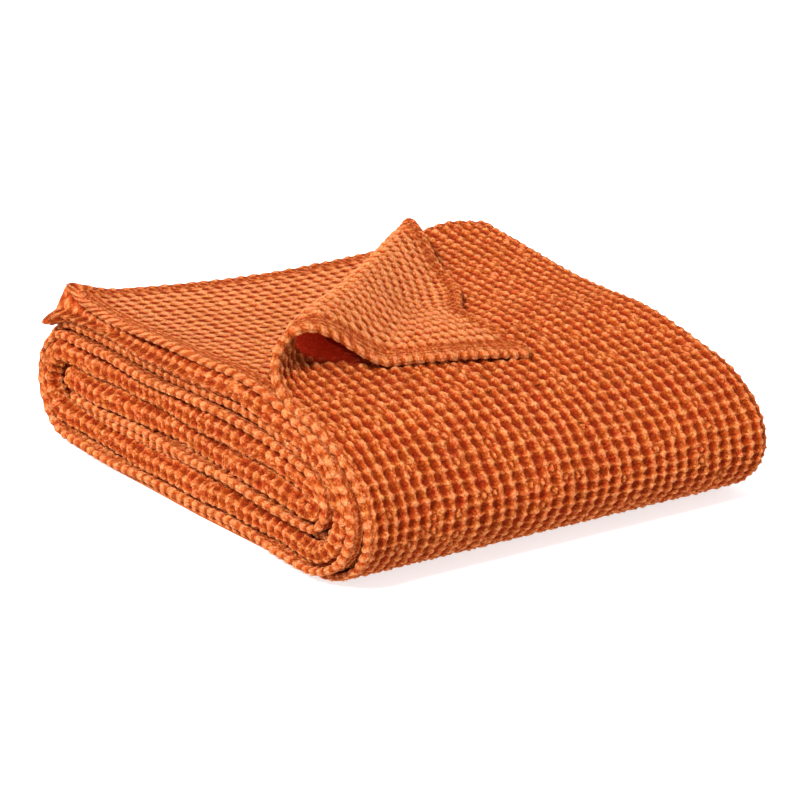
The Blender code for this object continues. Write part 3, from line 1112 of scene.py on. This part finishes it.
def secondPiece():
    # B on the top, which shows at the back left, and its hem round the end of the pad
    start, radius = cuts["secondLayer"], throw["edgeRadius"]
    hemStart = acrossEnd - cuts["hemEnd"]
    fine = joinLines(lines(start, acrossEnd - radius, detail["secondTop"]), acrossEnd - hemLines())
    coarse = joinLines(lines(start, hemStart, detail["hidden"]),
                       lines(hemStart, acrossEnd - radius, detail["hem"]), acrossEnd - hemLines())
    topAlong = joinLines(hemLines(), wrapLines(radius, cuts["front"], detail["secondTop"]))
    restAlong = wrapToEnd(cuts["front"], detail["hem"])
    top = slab((coarse, topAlong), (fine, topAlong))
    rest = slab((coarse, restAlong), (coarse, restAlong))
    return clothObject("blanket_second_layer", [top, rest])


def innerPieces():
    # what lies between: A inside the wrap, and the flat parts of D and C
    sideA = fromHiddenHem(detail["hem"]), wrapToEnd(cuts["third"], detail["hem"])
    along = joinLines(hemLines(), lines(throw["edgeRadius"], cuts["hemEnd"], detail["looseEnd"]),
                      wrapToEnd(cuts["hemEnd"], detail["hiddenAlong"]))
    sideD = lines(cuts["rightFoldEnd"], cuts["leftFoldStart"], detail["innerLayers"]), along
    acrossC = joinLines(lines(cuts["leftFoldEnd"], acrossAt["innerFold"], detail["innerLayers"]),
                        lines(acrossAt["innerFold"], cuts["secondLayer"], detail["innerFold"]))
    sideC = acrossC, along
    return clothObject("blanket_inner_layers", [slab(side, side) for side in (sideA, sideD, sideC)])


weaveTree = buildWaffleTree()
waffleCotton = buildCotton()
pieces = [*topPieces(), undersidePiece(), *foldPieces(), secondPiece(), innerPieces()]
print("smooth cloth made")

# The pad's middle is over the origin, as the solid's is
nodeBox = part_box("blanket")
allPoints = np.concatenate([np.array([v.co for v in piece.data.vertices]) for piece in pieces])
low, high = allPoints.min(axis=0), allPoints.max(axis=0)
shift = [(nodeBox[0][i] + nodeBox[1][i]) / 2 - (low[i] + high[i]) / 2 for i in range(2)]
for piece in pieces:
    places = np.empty(len(piece.data.vertices) * 3, np.float32)
    piece.data.vertices.foreach_get("co", places)
    places = places.reshape(-1, 3) + np.array([shift[0], shift[1], 0.0], np.float32)
    piece.data.vertices.foreach_set("co", places.ravel())

total = 0
for piece in pieces:
    weave(piece, weaveTree, waffleCotton)
    piece.data.calc_loop_triangles()
    total += len(piece.data.loop_triangles)
    print(piece.name, len(piece.data.loop_triangles), "triangles")
print("waffle woven,", total, "triangles")

# What each mesh is of the flat cloth, where a turn of a fold adds to its length
foldTurn = outer * math.pi
flats = {
    "blanket_top": (cuts["rightFoldStart"], cuts["front"]),
    "blanket_front": (cuts["rightFoldStart"], cuts["underside"] - cuts["front"] + foldTurn),
    "blanket_underside": (cuts["rightFoldStart"], cuts["third"] - cuts["underside"] + foldTurn),
    "blanket_folds": (cuts["rightFoldEnd"] - cuts["rightFoldStart"], alongEnd),
    "blanket_side_folds": (cuts["leftFoldEnd"] - cuts["leftFoldStart"], alongEnd),
    "blanket_second_layer": (acrossEnd - cuts["secondLayer"], alongEnd),
    "blanket_inner_layers": (3 * quarter, alongEnd),
}
innerArea = (cuts["rightFoldStart"] * (alongEnd - cuts["third"])
             + (cuts["leftFoldStart"] - cuts["rightFoldEnd"]) * alongEnd
             + (cuts["secondLayer"] - cuts["leftFoldEnd"]) * alongEnd)
for piece in pieces:
    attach(piece, "root")
    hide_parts("blanket")

# A plain pale floor in even light, and one soft sun from the front left
white = (1.0, 1.0, 1.0, 1.0)
studio = {
    "floorSize": 8.0,
    "floorColour": (0.50, 0.50, 0.50, 1.0),
    "floorRoughness": 0.8,
    "floorGlow": 0.72,
    "world": 0.92,
}
sun = {"from": (-0.72, -0.32, 0.74), "softness": 9.0, "strength": 5.0}


def buildStudio():
    material = bpy.data.materials.new("pale floor")
    material.use_nodes = True
    shader = material.node_tree.nodes["Principled BSDF"]
    shader.inputs["Base Color"].default_value = studio["floorColour"]
    shader.inputs["Roughness"].default_value = studio["floorRoughness"]
    shader.inputs["Emission Color"].default_value = white
    shader.inputs["Emission Strength"].default_value = studio["floorGlow"]
    bpy.ops.mesh.primitive_plane_add(size=studio["floorSize"])
    floor = bpy.context.object
    floor.name = "floor"
    floor.data.materials.append(material)
    world = bpy.data.worlds.new("studio")
    world.use_nodes = True
    background = world.node_tree.nodes["Background"]
    background.inputs["Color"].default_value = white
    background.inputs["Strength"].default_value = studio["world"]
    bpy.context.scene.world = world


def addSun():
    data = bpy.data.lights.new("key", "SUN")
    data.angle = math.radians(sun["softness"])
    data.energy = sun["strength"]
    light = bpy.data.objects.new("key", data)
    light.rotation_euler = Vector(sun["from"]).to_track_quat("Z", "Y").to_euler()
    bpy.context.scene.collection.objects.link(light)


# The photo's view: turned to the left of the front and a little from above
view = {"turn": 34.4, "height": 17.85, "distance": 1.753, "right": -0.0019, "up": -0.0070,
        "lookAt": 0.05, "lens": 121.5, "sensor": 36.0}


def buildCamera():
    turn, height = math.radians(view["turn"]), math.radians(view["height"])
    right = np.array((math.cos(turn), -math.sin(turn), 0.0))
    forward = np.array((math.sin(turn) * math.cos(height), math.cos(turn) * math.cos(height),
                        -math.sin(height)))
    up = np.cross(right, forward)
    target = right * view["right"] + up * view["up"] + np.array((0.0, 0.0, view["lookAt"]))
    data = bpy.data.cameras.new("photo view")
    data.lens = view["lens"]
    data.sensor_width = view["sensor"]
    camera = bpy.data.objects.new("photo view", data)
    camera.location = target - forward * view["distance"]
    axes = np.stack((right, up, -forward), axis=1)
    camera.rotation_euler = Matrix(axes.tolist()).to_euler()
    bpy.context.scene.collection.objects.link(camera)
    bpy.context.scene.camera = camera


buildStudio()
addSun()
buildCamera()
bpy.context.scene.view_settings.view_transform = "Standard"
print("studio and camera made")
